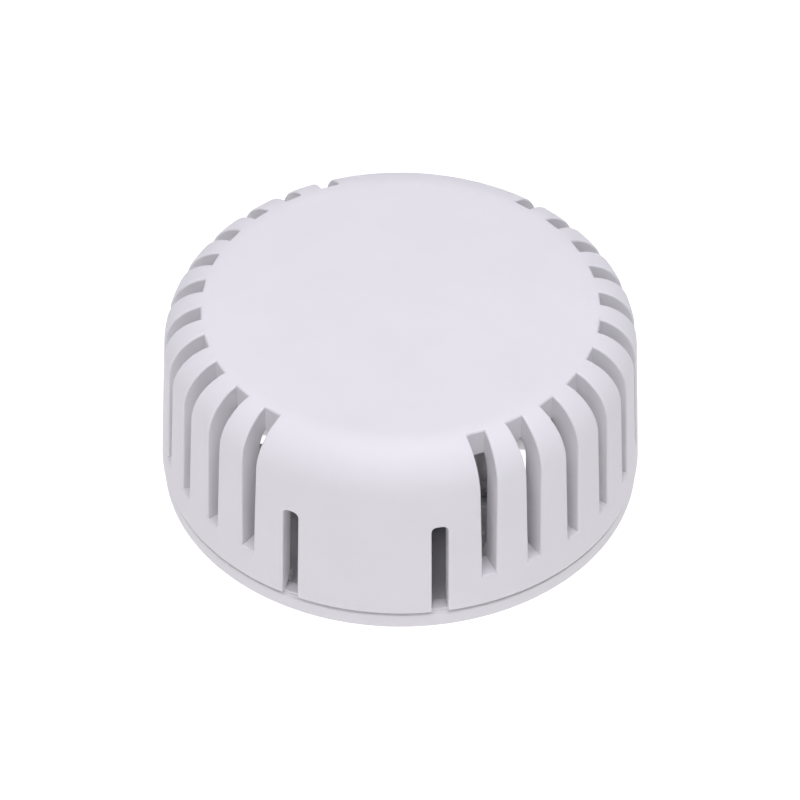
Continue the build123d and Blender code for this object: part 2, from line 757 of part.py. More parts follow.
def make_driver_chip():
    x, y = chip_place
    top_z = board_top_z + 1.6
    half_x, half_y = chip_half_x, chip_half_y
    body = span(x - half_x, x + half_x, y - half_y, y + half_y, board_top_z + 0.15, top_z)
    body = chamfer(body.edges().group_by(Axis.Z)[-1], 0.25)
    return body - rod(x - 1.3, y + 1.8, 0.35, top_z - gap, height)


def make_chip_legs():
    """Gull-wing legs, four on each side."""
    low, high = board_top_z, chip_leg_z + chip_leg
    knee = chip_half_x + 0.3
    legs = []
    for turn in (0, 180):
        for step in (-1.5, -0.5, 0.5, 1.5):
            y = step * chip_leg_pitch
            y0, y1 = y - chip_leg, y + chip_leg
            leg = span(chip_half_x, knee + chip_leg, y0, y1, chip_leg_z, high)
            leg = leg + span(knee, knee + chip_leg, y0, y1, low, high)
            leg = leg + span(knee, chip_reach, y0, y1, low, low + chip_leg)
            legs.append(Pos(chip_place[0], chip_place[1], 0) * Rot(0, 0, turn) * leg)
    return legs


def chip_part(x, y, length, width, tall):
    """A small surface-mount part, lengthwise along X."""
    half_x, half_y = length / 2, width / 2
    block = span(x - half_x, x + half_x, y - half_y, y + half_y, board_top_z, board_top_z + tall)
    return chamfer(block.edges().group_by(Axis.Z)[-1], 0.08)


def square_rod(place, half, z0, z1):
    x, y = place
    return span(x - half, x + half, y - half, y + half, z0, z1)


def make_tone_header():
    x, y = header_place
    reach = 1.5 * header_pitch
    base = span(x - header_half, x + header_half, y - reach, y + reach, board_top_z, header_top_z)
    base = chamfer(base.edges().filter_by(Axis.Z), 0.5)
    return base - [square_rod(place, pin_half + gap, 0, height) for place in header_pin_places()]


def make_tone_pins():
    pins = [square_rod(place, pin_half, pin_tail_z, pin_top_z) for place in header_pin_places()]
    return [chamfer(pin.edges().group_by(Axis.Z)[-1], 0.15) for pin in pins]


def make_tone_jumper():
    """A pull-off link over the first two pins."""
    x = header_place[0]
    y = header_place[1] - header_pitch / 2
    z0 = header_top_z + 0.15
    link = span(x - 1.2, x + 1.2, y - 2.5, y + 2.5, z0, z0 + jumper_height)
    link = chamfer(link.edges().group_by(Axis.Z)[-1], 0.4)
    socket_top_z = pin_top_z + gap
    return link - [square_rod(place, pin_half + gap, 0, socket_top_z) for place in header_pin_places()[:2]]


# ---- Files ---------------------------------------------------------------------------------------
cover_part, tab_part = make_cover_and_tab()
save("cover", cover_part)
save("cover_snap_tab", tab_part)
save("base_plate", make_base_plate())
save("circuit_board", make_circuit_board())
board_screw = (board_screw_head, 1.6, board_screw_radius, board_screw_length)
save("board_screws", *[pan_screw(x, y, board_top_z, *board_screw) for x, y in board_screw_places])

save("sounder_body", make_sounder_body())
save("sounder_cap", make_sounder_cap())
disc_z = diaphragm_bottom_z()
save("sounder_seal", sounder_ring(diaphragm_radius - gap, seat_inner_radius + 0.2, sounder_seat_z, disc_z))
save("sounder_diaphragm", rod(0, sounder_y, diaphragm_radius, disc_z, diaphragm_top_z()))
save("piezo_disc", rod(0, sounder_y, piezo_radius, disc_z - piezo_thickness, disc_z))
save("sounder_contacts", *make_sounder_contacts())
ears = [(side * ear_place[0], ear_place[1]) for side in (-1, 1)]
ear_screw = (ear_screw_head, 1.8, ear_screw_shank, ear_screw_length)
save("sounder_screws", *[pan_screw(x, y, ear_seat_z, *ear_screw) for x, y in ears])

save("terminal_housing", make_terminal_housing())
save("terminal_contacts", *make_terminal_contacts())
for number, place_y in enumerate(terminal_places(), start=1):
    save(f"terminal_screw_{number}", terminal_screw(place_y))
    save(f"terminal_cage_{number}", terminal_cage(place_y))

save("tamper_switch_body", make_tamper_switch_body())
save("tamper_button", make_tamper_button())
save("tamper_switch_dome", make_tamper_dome())
save("tamper_switch_legs", *make_tamper_legs())
save("tamper_spring", make_tamper_spring())

save("coil_core", make_coil_core())
save("coil_winding", make_coil_winding())
save("coil_leads", *leads(coil_leg_places(), board_top_z + root))
save("capacitor_can", make_capacitor_can())
save("capacitor_sleeve", make_capacitor_sleeve())
save("capacitor_leads", *leads(capacitor_leg_places(), capacitor_bottom_z))
save("driver_transistors", *[transistor(x, y) for x, y in transistor_places])
save("transistor_leads", *leads(transistor_leg_places(), transistor_bottom_z))
save("driver_chip", make_driver_chip())
save("chip_legs", *make_chip_legs())
save("diode", chip_part(*diode_place, 4.3, 2.6, 2.1))
save("resistors", *[chip_part(x, y, 2.0, 1.25, 0.55) for x, y in resistor_places])
save("small_capacitors", *[chip_part(x, y, 2.0, 1.25, 1.1) for x, y in small_capacitor_places])
save("tone_header", make_tone_header())
save("tone_pins", *make_tone_pins())
save("tone_jumper", make_tone_jumper())
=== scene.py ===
import bpy
import bmesh
import json
import math
from mathutils import Matrix, Vector


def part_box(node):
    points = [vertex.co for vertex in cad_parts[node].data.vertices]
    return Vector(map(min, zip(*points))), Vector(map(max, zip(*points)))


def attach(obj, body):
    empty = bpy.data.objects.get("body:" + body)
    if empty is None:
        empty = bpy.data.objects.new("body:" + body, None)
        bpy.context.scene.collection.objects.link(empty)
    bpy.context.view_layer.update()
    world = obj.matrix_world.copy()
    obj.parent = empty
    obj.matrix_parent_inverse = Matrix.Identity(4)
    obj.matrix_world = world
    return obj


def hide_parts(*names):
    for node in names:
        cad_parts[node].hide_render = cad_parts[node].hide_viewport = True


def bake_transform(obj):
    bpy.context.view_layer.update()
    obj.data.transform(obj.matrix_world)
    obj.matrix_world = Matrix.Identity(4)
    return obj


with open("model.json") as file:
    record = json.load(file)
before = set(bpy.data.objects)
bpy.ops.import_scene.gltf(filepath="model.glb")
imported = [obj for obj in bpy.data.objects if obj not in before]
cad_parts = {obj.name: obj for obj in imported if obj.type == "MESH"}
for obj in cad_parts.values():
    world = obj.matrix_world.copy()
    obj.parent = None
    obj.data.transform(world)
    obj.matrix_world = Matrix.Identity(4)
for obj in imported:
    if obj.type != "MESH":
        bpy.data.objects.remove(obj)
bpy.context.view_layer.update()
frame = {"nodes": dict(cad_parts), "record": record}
MM = 0.001


# ---- Materials ------------------------------------------------------------------------------------
GRAIN_DEPTH = 0.00002        # relief of mouldings, metal and the board, in metres
SCRATCH_DEPTH = 0.000015
TRACK_DEPTH = 0.00003
GLOSS_SPREAD = 0.07          # how far a moulding's roughness wanders to either side


def new_material(name, colour, roughness, metallic=0.0, specular=0.5):
    """A Principled material with its even values set on the shader itself."""
    material = bpy.data.materials.new(name)
    material.use_nodes = True
    shader = material.node_tree.nodes["Principled BSDF"]
    shader.inputs["Base Color"].default_value = (*colour, 1.0)
    shader.inputs["Roughness"].default_value = roughness
    shader.inputs["Metallic"].default_value = metallic
    shader.inputs["Specular IOR Level"].default_value = specular
    return material, material.node_tree, shader


def add(tree, kind, settings=(), **values):
    """A node with its properties and unlinked inputs set."""
    node = tree.nodes.new(kind)
    for key, value in dict(settings).items():
        setattr(node, key, value)
    for key, value in values.items():
        node.inputs[key.replace("_", " ")].default_value = value
    return node


def noise(tree, scale, detail=4.0, roughness=0.6, stretch=(1.0, 1.0, 1.0)):
    """Noise in the object's own coordinates, in grains per metre."""
    place = add(tree, "ShaderNodeTexCoord")
    mapping = add(tree, "ShaderNodeMapping")
    mapping.inputs["Scale"].default_value = stretch
    tree.links.new(place.outputs["Object"], mapping.inputs["Vector"])
    made = add(tree, "ShaderNodeTexNoise", Scale=scale, Detail=detail, Roughness=roughness)
    tree.links.new(mapping.outputs["Vector"], made.inputs["Vector"])
    return made.outputs["Fac"]


def ramp(tree, factor, low, high, start=0.3, end=0.7):
    """Colours or greys between two ends, over the part of the range where most of a noise lies."""
    node = add(tree, "ShaderNodeValToRGB")
    node.color_ramp.elements[0].position = start
    node.color_ramp.elements[1].position = end
    node.color_ramp.elements[0].color = low if len(low) == 4 else (*low, 1.0)
    node.color_ramp.elements[1].color = high if len(high) == 4 else (*high, 1.0)
    tree.links.new(factor, node.inputs["Fac"])
    return node.outputs["Color"]


def grey(value):
    return (value, value, value, 1.0)


def scaled(colour, share):
    return tuple(channel * share for channel in colour)


def bump(tree, shader, height, distance, strength):
    """Surface relief, with distance in metres."""
    node = add(tree, "ShaderNodeBump", Strength=strength, Distance=distance)
    tree.links.new(height, node.inputs["Height"])
    tree.links.new(node.outputs["Normal"], shader.inputs["Normal"])


def mix(tree, factor, first, second):
    """A blend of two colours, either of them a socket or an even colour."""
    node = add(tree, "ShaderNodeMix", {"data_type": "RGBA"})
    tree.links.new(factor, node.inputs["Factor"])
    for socket, value in ((node.inputs["A"], first), (node.inputs["B"], second)):
        if isinstance(value, tuple):
            socket.default_value = value
        else:
            tree.links.new(value, socket)
    return node.outputs["Result"]


def plastic(slot, colour, roughness, spread=0.06, mottle=260.0, gloss=1100.0, grain=2800.0, specular=0.45):
    """A moulded part: faint mottling, an uneven gloss and a fine eroded grain, in grains per metre."""
    material, tree, shader = new_material(slot, colour, roughness, specular=specular)
    tone = ramp(tree, noise(tree, mottle), scaled(colour, 1 - spread), scaled(colour, 1 + spread))
    tree.links.new(tone, shader.inputs["Base Color"])
    glossy, dull = grey(roughness - GLOSS_SPREAD), grey(roughness + GLOSS_SPREAD)
    sheen = ramp(tree, noise(tree, gloss, detail=3.0), glossy, dull)
    tree.links.new(sheen, shader.inputs["Roughness"])
    bump(tree, shader, noise(tree, grain, detail=2.0), GRAIN_DEPTH, strength=0.35)
    return material


def metal(slot, colour, roughness, lay=(1.0, 1.0, 1.0), dulling=0.72):
    """Bare metal: patches dulled by handling, and fine scratches along the way it was drawn or wound."""
    patches, scratching = 420.0, 2400.0
    material, tree, shader = new_material(slot, colour, roughness, metallic=1.0)
    tone = ramp(tree, noise(tree, patches, detail=5.0), scaled(colour, dulling), colour, end=0.62)
    tree.links.new(tone, shader.inputs["Base Color"])
    scratches = noise(tree, scratching, detail=3.0, stretch=lay)
    worn = ramp(tree, scratches, grey(roughness - 0.1), grey(roughness + 0.14))
    tree.links.new(worn, shader.inputs["Roughness"])
    bump(tree, shader, scratches, SCRATCH_DEPTH, strength=0.3)
    return material


def solder_mask(slot):
    """A green board: tracks stand up faintly under the mask, and the sawn sides show glass fibre."""
    green, track, fibre = (0.012, 0.115, 0.045), (0.03, 0.2, 0.075), (0.36, 0.34, 0.18)
    area_scale, track_scale, fibre_scale, gloss_scale = 170.0, 125.0, 2600.0, 700.0
    sawn_roughness = 0.8
    material, tree, shader = new_material(slot, green, 0.34)
    place = add(tree, "ShaderNodeTexCoord")
    areas = add(tree, "ShaderNodeTexVoronoi", {"distance": "CHEBYCHEV"}, Scale=area_scale)
    tree.links.new(place.outputs["Object"], areas.inputs["Vector"])
    runs = []
    for direction in ("X", "Y"):
        wave = add(tree, "ShaderNodeTexWave", {"bands_direction": direction}, Scale=track_scale)
        tree.links.new(place.outputs["Object"], wave.inputs["Vector"])
        runs.append(ramp(tree, wave.outputs["Fac"], grey(0.0), grey(1.0), 0.62, 0.68))
    split = add(tree, "ShaderNodeSeparateColor")
    tree.links.new(areas.outputs["Color"], split.inputs["Color"])
    which = ramp(tree, split.outputs["Red"], grey(0.0), grey(1.0), 0.49, 0.51)
    laid = mix(tree, which, *runs)
    tone = mix(tree, laid, (*green, 1.0), (*track, 1.0))
    facing = add(tree, "ShaderNodeNewGeometry")
    parts = add(tree, "ShaderNodeSeparateXYZ")
    tree.links.new(facing.outputs["True Normal"], parts.inputs["Vector"])
    upright = add(tree, "ShaderNodeMath", {"operation": "ABSOLUTE"})
    tree.links.new(parts.outputs["Z"], upright.inputs[0])
    masked = ramp(tree, upright.outputs["Value"], grey(0.0), grey(1.0), 0.5, 0.6)
    weave = noise(tree, fibre_scale, stretch=(1.0, 1.0, 4.0))
    cut = ramp(tree, weave, scaled(fibre, 0.7), fibre, 0.35, 0.65)
    tree.links.new(mix(tree, masked, cut, tone), shader.inputs["Base Color"])
    gloss = ramp(tree, noise(tree, gloss_scale), grey(0.28), grey(0.42))
    tree.links.new(mix(tree, masked, grey(sawn_roughness), gloss), shader.inputs["Roughness"])
    bump(tree, shader, laid, TRACK_DEPTH, strength=0.5)
    return material


DRAWN = (0.15, 1.0, 1.0)             # scratches run along X
WOUND = (0.1, 0.1, 1.0)              # level, round an upright axis
EXTRUDED = (1.0, 1.0, 0.15)          # upright
FINISH = {
    "white_abs": plastic(
        "white_abs", (0.802, 0.799, 0.808), 0.57, 0.015, mottle=55.0, gloss=900.0, grain=3200.0, specular=0.4,
    ),
    "sounder_white": plastic("sounder_white", (0.84, 0.835, 0.83), 0.42, 0.02, mottle=90.0),
    "terminal_grey": plastic("terminal_grey", (0.2, 0.23, 0.25), 0.45),
    "switch_black": plastic("switch_black", (0.024, 0.024, 0.027), 0.4, 0.2),
    "epoxy_black": plastic("epoxy_black", (0.022, 0.022, 0.023), 0.62, 0.25, grain=4200.0),
    "sleeve_black": plastic("sleeve_black", (0.015, 0.016, 0.024), 0.24, 0.15, grain=900.0),
    "jumper_blue": plastic("jumper_blue", (0.02, 0.075, 0.4), 0.3, 0.1),
    "silicone": plastic("silicone", (0.6, 0.6, 0.57), 0.5, 0.04, specular=0.35),
    "ferrite": plastic("ferrite", (0.035, 0.033, 0.034), 0.55, 0.3, grain=1800.0),
    "ceramic_tan": plastic("ceramic_tan", (0.42, 0.31, 0.19), 0.45, 0.12, grain=3600.0),
    "board_green": solder_mask("board_green"),
    "screw_steel": metal("screw_steel", (0.66, 0.67, 0.68), 0.3),
    "brass": metal("brass", (0.78, 0.57, 0.24), 0.3, DRAWN, dulling=0.66),
    "piezo_silver": metal("piezo_silver", (0.8, 0.8, 0.77), 0.44, dulling=0.85),
    "spring_bronze": metal("spring_bronze", (0.68, 0.42, 0.24), 0.3, DRAWN),
    "tinned": metal("tinned", (0.74, 0.745, 0.74), 0.28, dulling=0.8),
    "spring_steel": metal("spring_steel", (0.58, 0.58, 0.59), 0.26, DRAWN),
    "copper_wire": metal("copper_wire", (0.6, 0.22, 0.085), 0.24, WOUND),
    "aluminium": metal("aluminium", (0.82, 0.825, 0.83), 0.3, EXTRUDED, dulling=0.86),
}


# ---- Mesh helpers ---------------------------------------------------------------------------------
SHARP_TURN = 40.0            # edges that turn by more than this many degrees are rounded
WELD_GAP = 0.0005            # points closer than this, in millimetres, are one


class Skin:
    """Collects faces from points in millimetres. Points that coincide become one vertex."""

    def __init__(self):
        self.mesh = bmesh.new()
        self.found = {}

    def point(self, place):
        key = tuple(round(value, 4) for value in place)
        if key not in self.found:
            self.found[key] = self.mesh.verts.new([value * MM for value in key])
        return self.found[key]

    def face(self, *places):
        corners = []
        for place in places:
            vertex = self.point(place)
            if vertex not in corners:
                corners.append(vertex)
        if len(corners) > 2 and self.mesh.faces.get(corners) is None:
            self.mesh.faces.new(corners)

    def strip(self, first, second, closed=False):
        """Quads between two rows of points of the same length."""
        count = len(first)
        for i in range(count if closed else count - 1):
            j = (i + 1) % count
            self.face(first[i], first[j], second[j], second[i])

    def edges(self, places, closed=False):
        """The edges that join a row of points, where the mesh has them."""
        vertices = [self.point(place) for place in places]
        pairs = list(zip(vertices, vertices[1:] + vertices[:1]))
        if not closed:
            pairs.pop()
        found = [self.mesh.edges.get(pair) for pair in pairs if pair[0] is not pair[1]]
        return [edge for edge in found if edge is not None]


def round_edges(mesh, edges, width, segments=3):
    """Rounds a set of edges."""
    bmesh.ops.bevel(
        mesh, geom=edges, offset=width * MM, offset_type="OFFSET", segments=segments, profile=0.5,
        affect="EDGES", clamp_overlap=True,
    )


def round_sharp_edges(mesh, width):
    """Rounds the edges of a mesh that turn sharply."""
    limit = math.radians(SHARP_TURN)
    sharp = [edge for edge in mesh.edges if len(edge.link_faces) == 2 and edge.calc_face_angle() > limit]
    round_edges(mesh, sharp, width, segments=2)


def mark_sharp(mesh, degrees):
    """Breaks the shading across edges that turn by more than an angle."""
    limit = math.radians(degrees)
    for face in mesh.faces:
        face.smooth = True
    for edge in mesh.edges:
        edge.smooth = len(edge.link_faces) == 2 and edge.calc_face_angle() < limit


def to_object(mesh, name, material, sharp=32.0, weighted=True):
    """Turns a bmesh into a shaded piece."""
    bmesh.ops.recalc_face_normals(mesh, faces=mesh.faces)
    mark_sharp(mesh, sharp)
    data = bpy.data.meshes.new(name)
    mesh.to_mesh(data)
    mesh.free()
    piece = bpy.data.objects.new(name, data)
    bpy.context.collection.objects.link(piece)
    data.materials.append(material)
    if weighted:
        even = piece.modifiers.new("even_shading", "WEIGHTED_NORMAL")
        even.keep_sharp = True
    return piece


def lathe(skin, x, y, outline, steps=48, closed=False):
    """A surface turned about an upright axis from (radius, z) points."""
    rows = []
    for i in range(steps):
        turn = 2 * math.pi * i / steps
        rows.append([(x + r * math.cos(turn), y + r * math.sin(turn), z) for r, z in outline])
    if closed:
        rows = [row + row[:1] for row in rows]
    for i in range(steps):
        skin.strip(rows[i], rows[(i + 1) % steps])


def sweep(skin, rows):
    """A solid through a series of closed outlines, with a face at each end."""
    for first, second in zip(rows, rows[1:]):
        skin.strip(first, second, closed=True)
    skin.face(*rows[0])
    skin.face(*rows[-1])


def sector_block(skin, outer, inner, z0, z1, middle, half_angle, steps=16):
    """A piece of a ring, its angles in degrees from the front."""
    ends = ((outer, z0), (outer, z1), (inner, z1), (inner, z0))
    rows = []
    for i in range(steps + 1):
        turn = math.radians(middle - half_angle + 2 * half_angle * i / steps)
        rows.append([(r * math.sin(turn), -r * math.cos(turn), z) for r, z in ends])
    sweep(skin, rows)


def block(skin, x0, x1, y0, y1, z0, z1):
    """A plain box inside a larger piece."""
    low = [(x0, y0, z0), (x1, y0, z0), (x1, y1, z0), (x0, y1, z0)]
    high = [(x, y, z1) for x, y, _ in low]
    sweep(skin, [low, high])


# ---- Cover: sections ------------------------------------------------------------------------------
COVER_FOOT = 50.0            # radius at the lower edge
COVER_TOP = 48.2             # radius where the wall would meet the top
COVER_HEIGHT = 43.8
COVER_CORNER = 10.3          # radius of the rounded upper corner
COVER_EDGE_Z = 4.3           # height of the lower edge
SHELL = 2.2                  # thickness of the wall and top
SLOT_HALF = 1.5              # half the width of a sound slot at its floor
SLOT_DRAFT = math.tan(math.radians(0.75))        # lean of its side walls, which spread upwards
SLOT_DEPTH = 5.6             # how far its side walls reach in from the outer surface
SLOT_COLLAR = 1.25           # thickness of the walls that stand round a slot inside the cover
SLOT_FLOOR_Z = 11.7
SLOT_END = 40.9              # distance of a slot's inner end from the axis
FIRST_SLOT = 30.0            # degrees from the front to the first sound slot on each side
SLOT_PITCH = 12.0
SLOTS_EACH_SIDE = 11
TAB_SLOT_HALF = 1.7          # half the width of the slots beside the snap tab
TAB_SLOT_CORNER = 1.2
TAB_SLOT_TOP_Z = 27.0
TAB_SLOT_ANGLE = 18.0
TAB_RIB = 3.4                # how far the ribs beside a tab slot reach in from the outer surface
TAB_RIB_Z = 7.5              # height where the ribs reach that depth
TAB_SEAM_Z = 25.55           # height where the tab and the cover meet as two pieces

# Mesh density: rows go up the wall and over the corner, columns go round the cover.
ARC_ROWS = 14                # rows along a slot's part of the round corner
LAST_ARC_ROWS = 3            # rows from there to the flat top
TOP_SHARES = (0.93, 0.82, 0.62, 0.4, 0.18)       # rings of the flat top, as shares of its radius
COLUMNS = {SLOT_PITCH: 4, 2 * TAB_SLOT_ANGLE: 18}        # steps between slots, by their angle apart
BACK_COLUMNS = 26
WIDEST_SPREAD = 5.0          # most degrees from a slot's middle to its edge columns, near the axis


class Section:
    """The cover's profile, moved inwards by an inset: a leaning wall, a round corner and a flat top."""

    def __init__(self, inset, floor_z=0.0):
        lean = (COVER_FOOT - COVER_TOP) / (COVER_HEIGHT - COVER_EDGE_Z)
        foot = COVER_FOOT + lean * (COVER_EDGE_Z - floor_z) - inset
        peak_r = COVER_TOP - inset
        peak_z = COVER_HEIGHT - inset
        self.radius = COVER_CORNER - inset
        self.slope = math.atan2(foot - peak_r, peak_z - floor_z)
        reach = self.radius / math.tan((math.pi / 2 + self.slope) / 2)
        self.centre = (peak_r - reach, peak_z - self.radius)
        self.top_z = peak_z
        self.tangent_z = self.centre[1] + self.radius * math.sin(self.slope)

    def wall(self, z):
        """A point of the wall, as radius and height."""
        edge = self.centre[0] + self.radius * math.cos(self.slope)
        return (edge + (self.tangent_z - z) * math.tan(self.slope), z)

    def arc(self, turn):
        """A point of the round corner, turn radians from straight up."""
        return (self.centre[0] + self.radius * math.sin(turn), self.centre[1] + self.radius * math.cos(turn))

    def turn_at(self, r):
        """The turn at which the round corner has a radius."""
        return math.asin((r - self.centre[0]) / self.radius)


OUTER = Section(0.0, COVER_EDGE_Z)
INNER = Section(SHELL)
COLLAR = Section(SLOT_DEPTH)
RIB = Section(TAB_RIB)

# Heights of the wall's rows. Each list has a row for the top of the tab slots or their ribs, in the same
# place, and plain rows that only divide the wall.
plain_rows = [16.3, 21.0]
corner_rows = [math.radians(90 * i / 4) for i in range(5)]
outer_wall_z = [SLOT_FLOOR_Z, *plain_rows, TAB_SEAM_Z]
outer_wall_z += [TAB_SLOT_TOP_Z - TAB_SLOT_CORNER * (1 - math.sin(turn)) for turn in corner_rows]
outer_wall_z += [30.4]
rib_top_z = TAB_SLOT_TOP_Z + SLOT_COLLAR
inner_wall_z = [SLOT_FLOOR_Z - SLOT_COLLAR, *plain_rows, TAB_SEAM_Z]
inner_wall_z += [26.3, 26.9, 27.5, 27.9, rib_top_z, 30.9]
foot_rows = [COVER_EDGE_Z, TAB_RIB_Z]
SLOT_ROW = len(foot_rows)                                        # row at the sound slots' floor
TAB_ROW = len(foot_rows) + outer_wall_z.index(TAB_SLOT_TOP_Z)    # row at the tab slots' top
END_ROW = SLOT_ROW + len(outer_wall_z) + ARC_ROWS                # row at the sound slots' inner end


def slot_half(z, collar):
    """Half the width of a sound slot at a height, or of its collar, the walls round it."""
    return SLOT_HALF + collar + (z - SLOT_FLOOR_Z) * SLOT_DRAFT


def end_turn(section, end, collar):
    """Where on the round corner a slot ends."""
    return section.turn_at(math.hypot(end, slot_half(section.top_z, collar)))


def slot_rows(section, wall_z, end, collar):
    """Radius and height of each row along a slot, from its floor to its inner end."""
    rows = [section.wall(z) for z in wall_z]
    last = end_turn(section, end, collar)
    start = math.pi / 2 - section.slope
    return rows + [section.arc(start + (last - start) * i / ARC_ROWS) for i in range(ARC_ROWS + 1)]


def full_rows(section, wall_z, end, collar):
    """Rows of a whole skin, from the foot to the middle of the top."""
    rows = [section.wall(z) for z in foot_rows] + slot_rows(section, wall_z, end, collar)
    last = end_turn(section, end, collar)
    rows += [section.arc(last * (1 - i / LAST_ARC_ROWS)) for i in range(1, LAST_ARC_ROWS + 1)]
    return rows + [(section.centre[0] * share, section.top_z) for share in TOP_SHARES]


def tab_half(row):
    """Half the tab slot's width at a row: it narrows through the round corners at its top."""
    first = TAB_ROW - len(corner_rows) + 1
    if row < first:
        return TAB_SLOT_HALF
    turn = corner_rows[min(row, TAB_ROW) - first]
    return TAB_SLOT_HALF - TAB_SLOT_CORNER * (1 - math.cos(turn))


def gates(collar, tab_rule):
    """Every slot round the cover: its angle in degrees, whether it is a tab slot, and its half width."""
    angles = [side * (FIRST_SLOT + SLOT_PITCH * i) for i in range(SLOTS_EACH_SIDE) for side in (-1, 1)]
    sound = [(angle, False, lambda row, z: slot_half(z, collar)) for angle in angles]
    tab = [(side * TAB_SLOT_ANGLE, True, lambda row, z: tab_rule(row)) for side in (-1, 1)]
    return sorted(sound + tab, key=lambda gate: gate[0])


def at(r, z, degrees, across):
    """A point at a distance across from the middle of a slot at an angle from the front."""
    turn = math.radians(degrees) + math.asin(across / r)
    return (r * math.sin(turn), -r * math.cos(turn), z)


def columns(all_gates, row, r, z):
    """Angles of every column at one row: the two edges of each gate, and even steps between gates."""
    edges = []
    for degrees, _, half in all_gates:
        across = half(row, z)
        reach = max(r, across * 1.01)
        spread = min(math.degrees(math.asin(across / reach)), WIDEST_SPREAD)
        edges.append((degrees - spread, degrees + spread))
    angles = []
    for i, (low, high) in enumerate(edges):
        following = edges[(i + 1) % len(edges)][0] + (360 if i + 1 == len(edges) else 0)
        middle_gap = all_gates[(i + 1) % len(edges)][0] - all_gates[i][0]
        steps = COLUMNS.get(middle_gap, BACK_COLUMNS)
        angles.append([low, high] + [high + (following - high) * k / steps for k in range(1, steps)])
    return angles


def add_skin(skin, rows, all_gates):
    """The outer or inner surface of the cover, open where the slots are.

    A group of columns starts with a slot's two edges, so a strip without its first step is open there.
    """
    grids = []
    for row, (r, z) in enumerate(rows):
        groups = columns(all_gates, row, r, z)
        grids.append([
            [(r * math.sin(math.radians(a)), -r * math.cos(math.radians(a)), z) for a in group]
            for group in groups
        ])
    for row in range(len(rows) - 1):
        for i, gate in enumerate(all_gates):
            low, high = grids[row], grids[row + 1]
            after = (i + 1) % len(all_gates)
            open_rows = range(0, TAB_ROW) if gate[1] else range(SLOT_ROW, END_ROW)
            first = 1 if row in open_rows else 0
            skin.strip((low[i] + [low[after][0]])[first:], (high[i] + [high[after][0]])[first:])
    skin.face(*[place for group in grids[-1] for place in group])
    return grids


# ---- Cover: building ------------------------------------------------------------------------------
outer_rows = full_rows(OUTER, outer_wall_z, SLOT_END, 0.0)
wide_end = SLOT_END - SLOT_COLLAR
rib_half = TAB_SLOT_HALF + SLOT_COLLAR
inner_rows = full_rows(INNER, inner_wall_z, wide_end, SLOT_COLLAR)
outer_gates = gates(0.0, tab_half)
inner_gates = gates(SLOT_COLLAR, lambda row: TAB_SLOT_HALF if row == 0 else rib_half)


def loop(rows, degrees, halves):
    """Points up one side of a slot and down the other."""
    up = [at(r, z, degrees, -half) for (r, z), half in zip(rows, halves)]
    down = [at(r, z, degrees, half) for (r, z), half in zip(rows, halves)]
    return up + down[::-1]


def sound_slot_loops(degrees):
    """Outer edge, inner edge, collar edge, and collar root of a sound slot."""
    edges = (
        (outer_rows[SLOT_ROW:END_ROW + 1], 0.0),
        (slot_rows(COLLAR, outer_wall_z, SLOT_END, 0.0), 0.0),
        (slot_rows(COLLAR, inner_wall_z, wide_end, SLOT_COLLAR), SLOT_COLLAR),
        (inner_rows[SLOT_ROW:END_ROW + 1], SLOT_COLLAR),
    )
    return [loop(rows, degrees, [slot_half(z, collar) for _, z in rows]) for rows, collar in edges]


def tab_slot_loops(degrees):
    """The same four edges of a tab slot, which is open at the bottom."""
    count = TAB_ROW + 1
    halves = [tab_half(row) for row in range(count)]
    wide = [TAB_SLOT_HALF] + [rib_half] * TAB_ROW
    foot = inner_rows[0]
    inner_edge = [foot] + [RIB.wall(z) for _, z in outer_rows[1:count]]
    rib_edge = [foot] + [RIB.wall(z) for _, z in inner_rows[1:count]]
    return [
        loop(outer_rows[:count], degrees, halves),
        loop(inner_edge, degrees, halves),
        loop(rib_edge, degrees, wide),
        loop(inner_rows[:count], degrees, wide),
    ]


SLOT_EDGE = 0.45             # radius of the sound slots' outer edges
SMALL_EDGE = 0.3             # of the tab slots' outer edges and the cover's foot
INNER_EDGE = 0.2             # of every slot's inner edge
FITTING_EDGE = 0.15          # of the tongues, the post and the tab's foot


def cover_mesh():
    """Cover and snap tab as one moulding, with its edges rounded."""
    skin = Skin()
    outer = add_skin(skin, outer_rows, outer_gates)
    inner = add_skin(skin, inner_rows, inner_gates)
    slot_edges = []
    small_edges = []
    inner_edges = []
    for degrees, is_tab, _ in outer_gates:
        loops = tab_slot_loops(degrees) if is_tab else sound_slot_loops(degrees)
        for first, second in zip(loops, loops[1:]):
            skin.strip(first, second, closed=not is_tab)
        edges = skin.edges(loops[0], closed=not is_tab)
        if is_tab:
            small_edges += edges
        else:
            slot_edges += edges
        inner_edges += skin.edges(loops[1], closed=not is_tab)
    for i, (_, is_tab, _) in enumerate(outer_gates):
        after = (i + 1) % len(outer_gates)
        first = 1 if is_tab else 0
        outer_foot = (outer[0][i] + [outer[0][after][0]])[first:]
        inner_foot = (inner[0][i] + [inner[0][after][0]])[first:]
        skin.strip(outer_foot, inner_foot)
        small_edges += skin.edges(outer_foot)
    mesh = skin.mesh
    bmesh.ops.recalc_face_normals(mesh, faces=mesh.faces)
    round_edges(mesh, slot_edges, SLOT_EDGE, segments=4)
    round_edges(mesh, [edge for edge in small_edges if edge.is_valid], SMALL_EDGE)
    round_edges(mesh, [edge for edge in inner_edges if edge.is_valid], INNER_EDGE, segments=2)
    return mesh


def is_tab_face(face):
    """Whether a face is on the snap tab: between the tab slots and below the seam."""
    place = face.calc_center_median()
    turn = math.degrees(math.atan2(place.x, -place.y))
    return abs(turn) < TAB_SLOT_ANGLE and place.z < TAB_SEAM_Z * MM


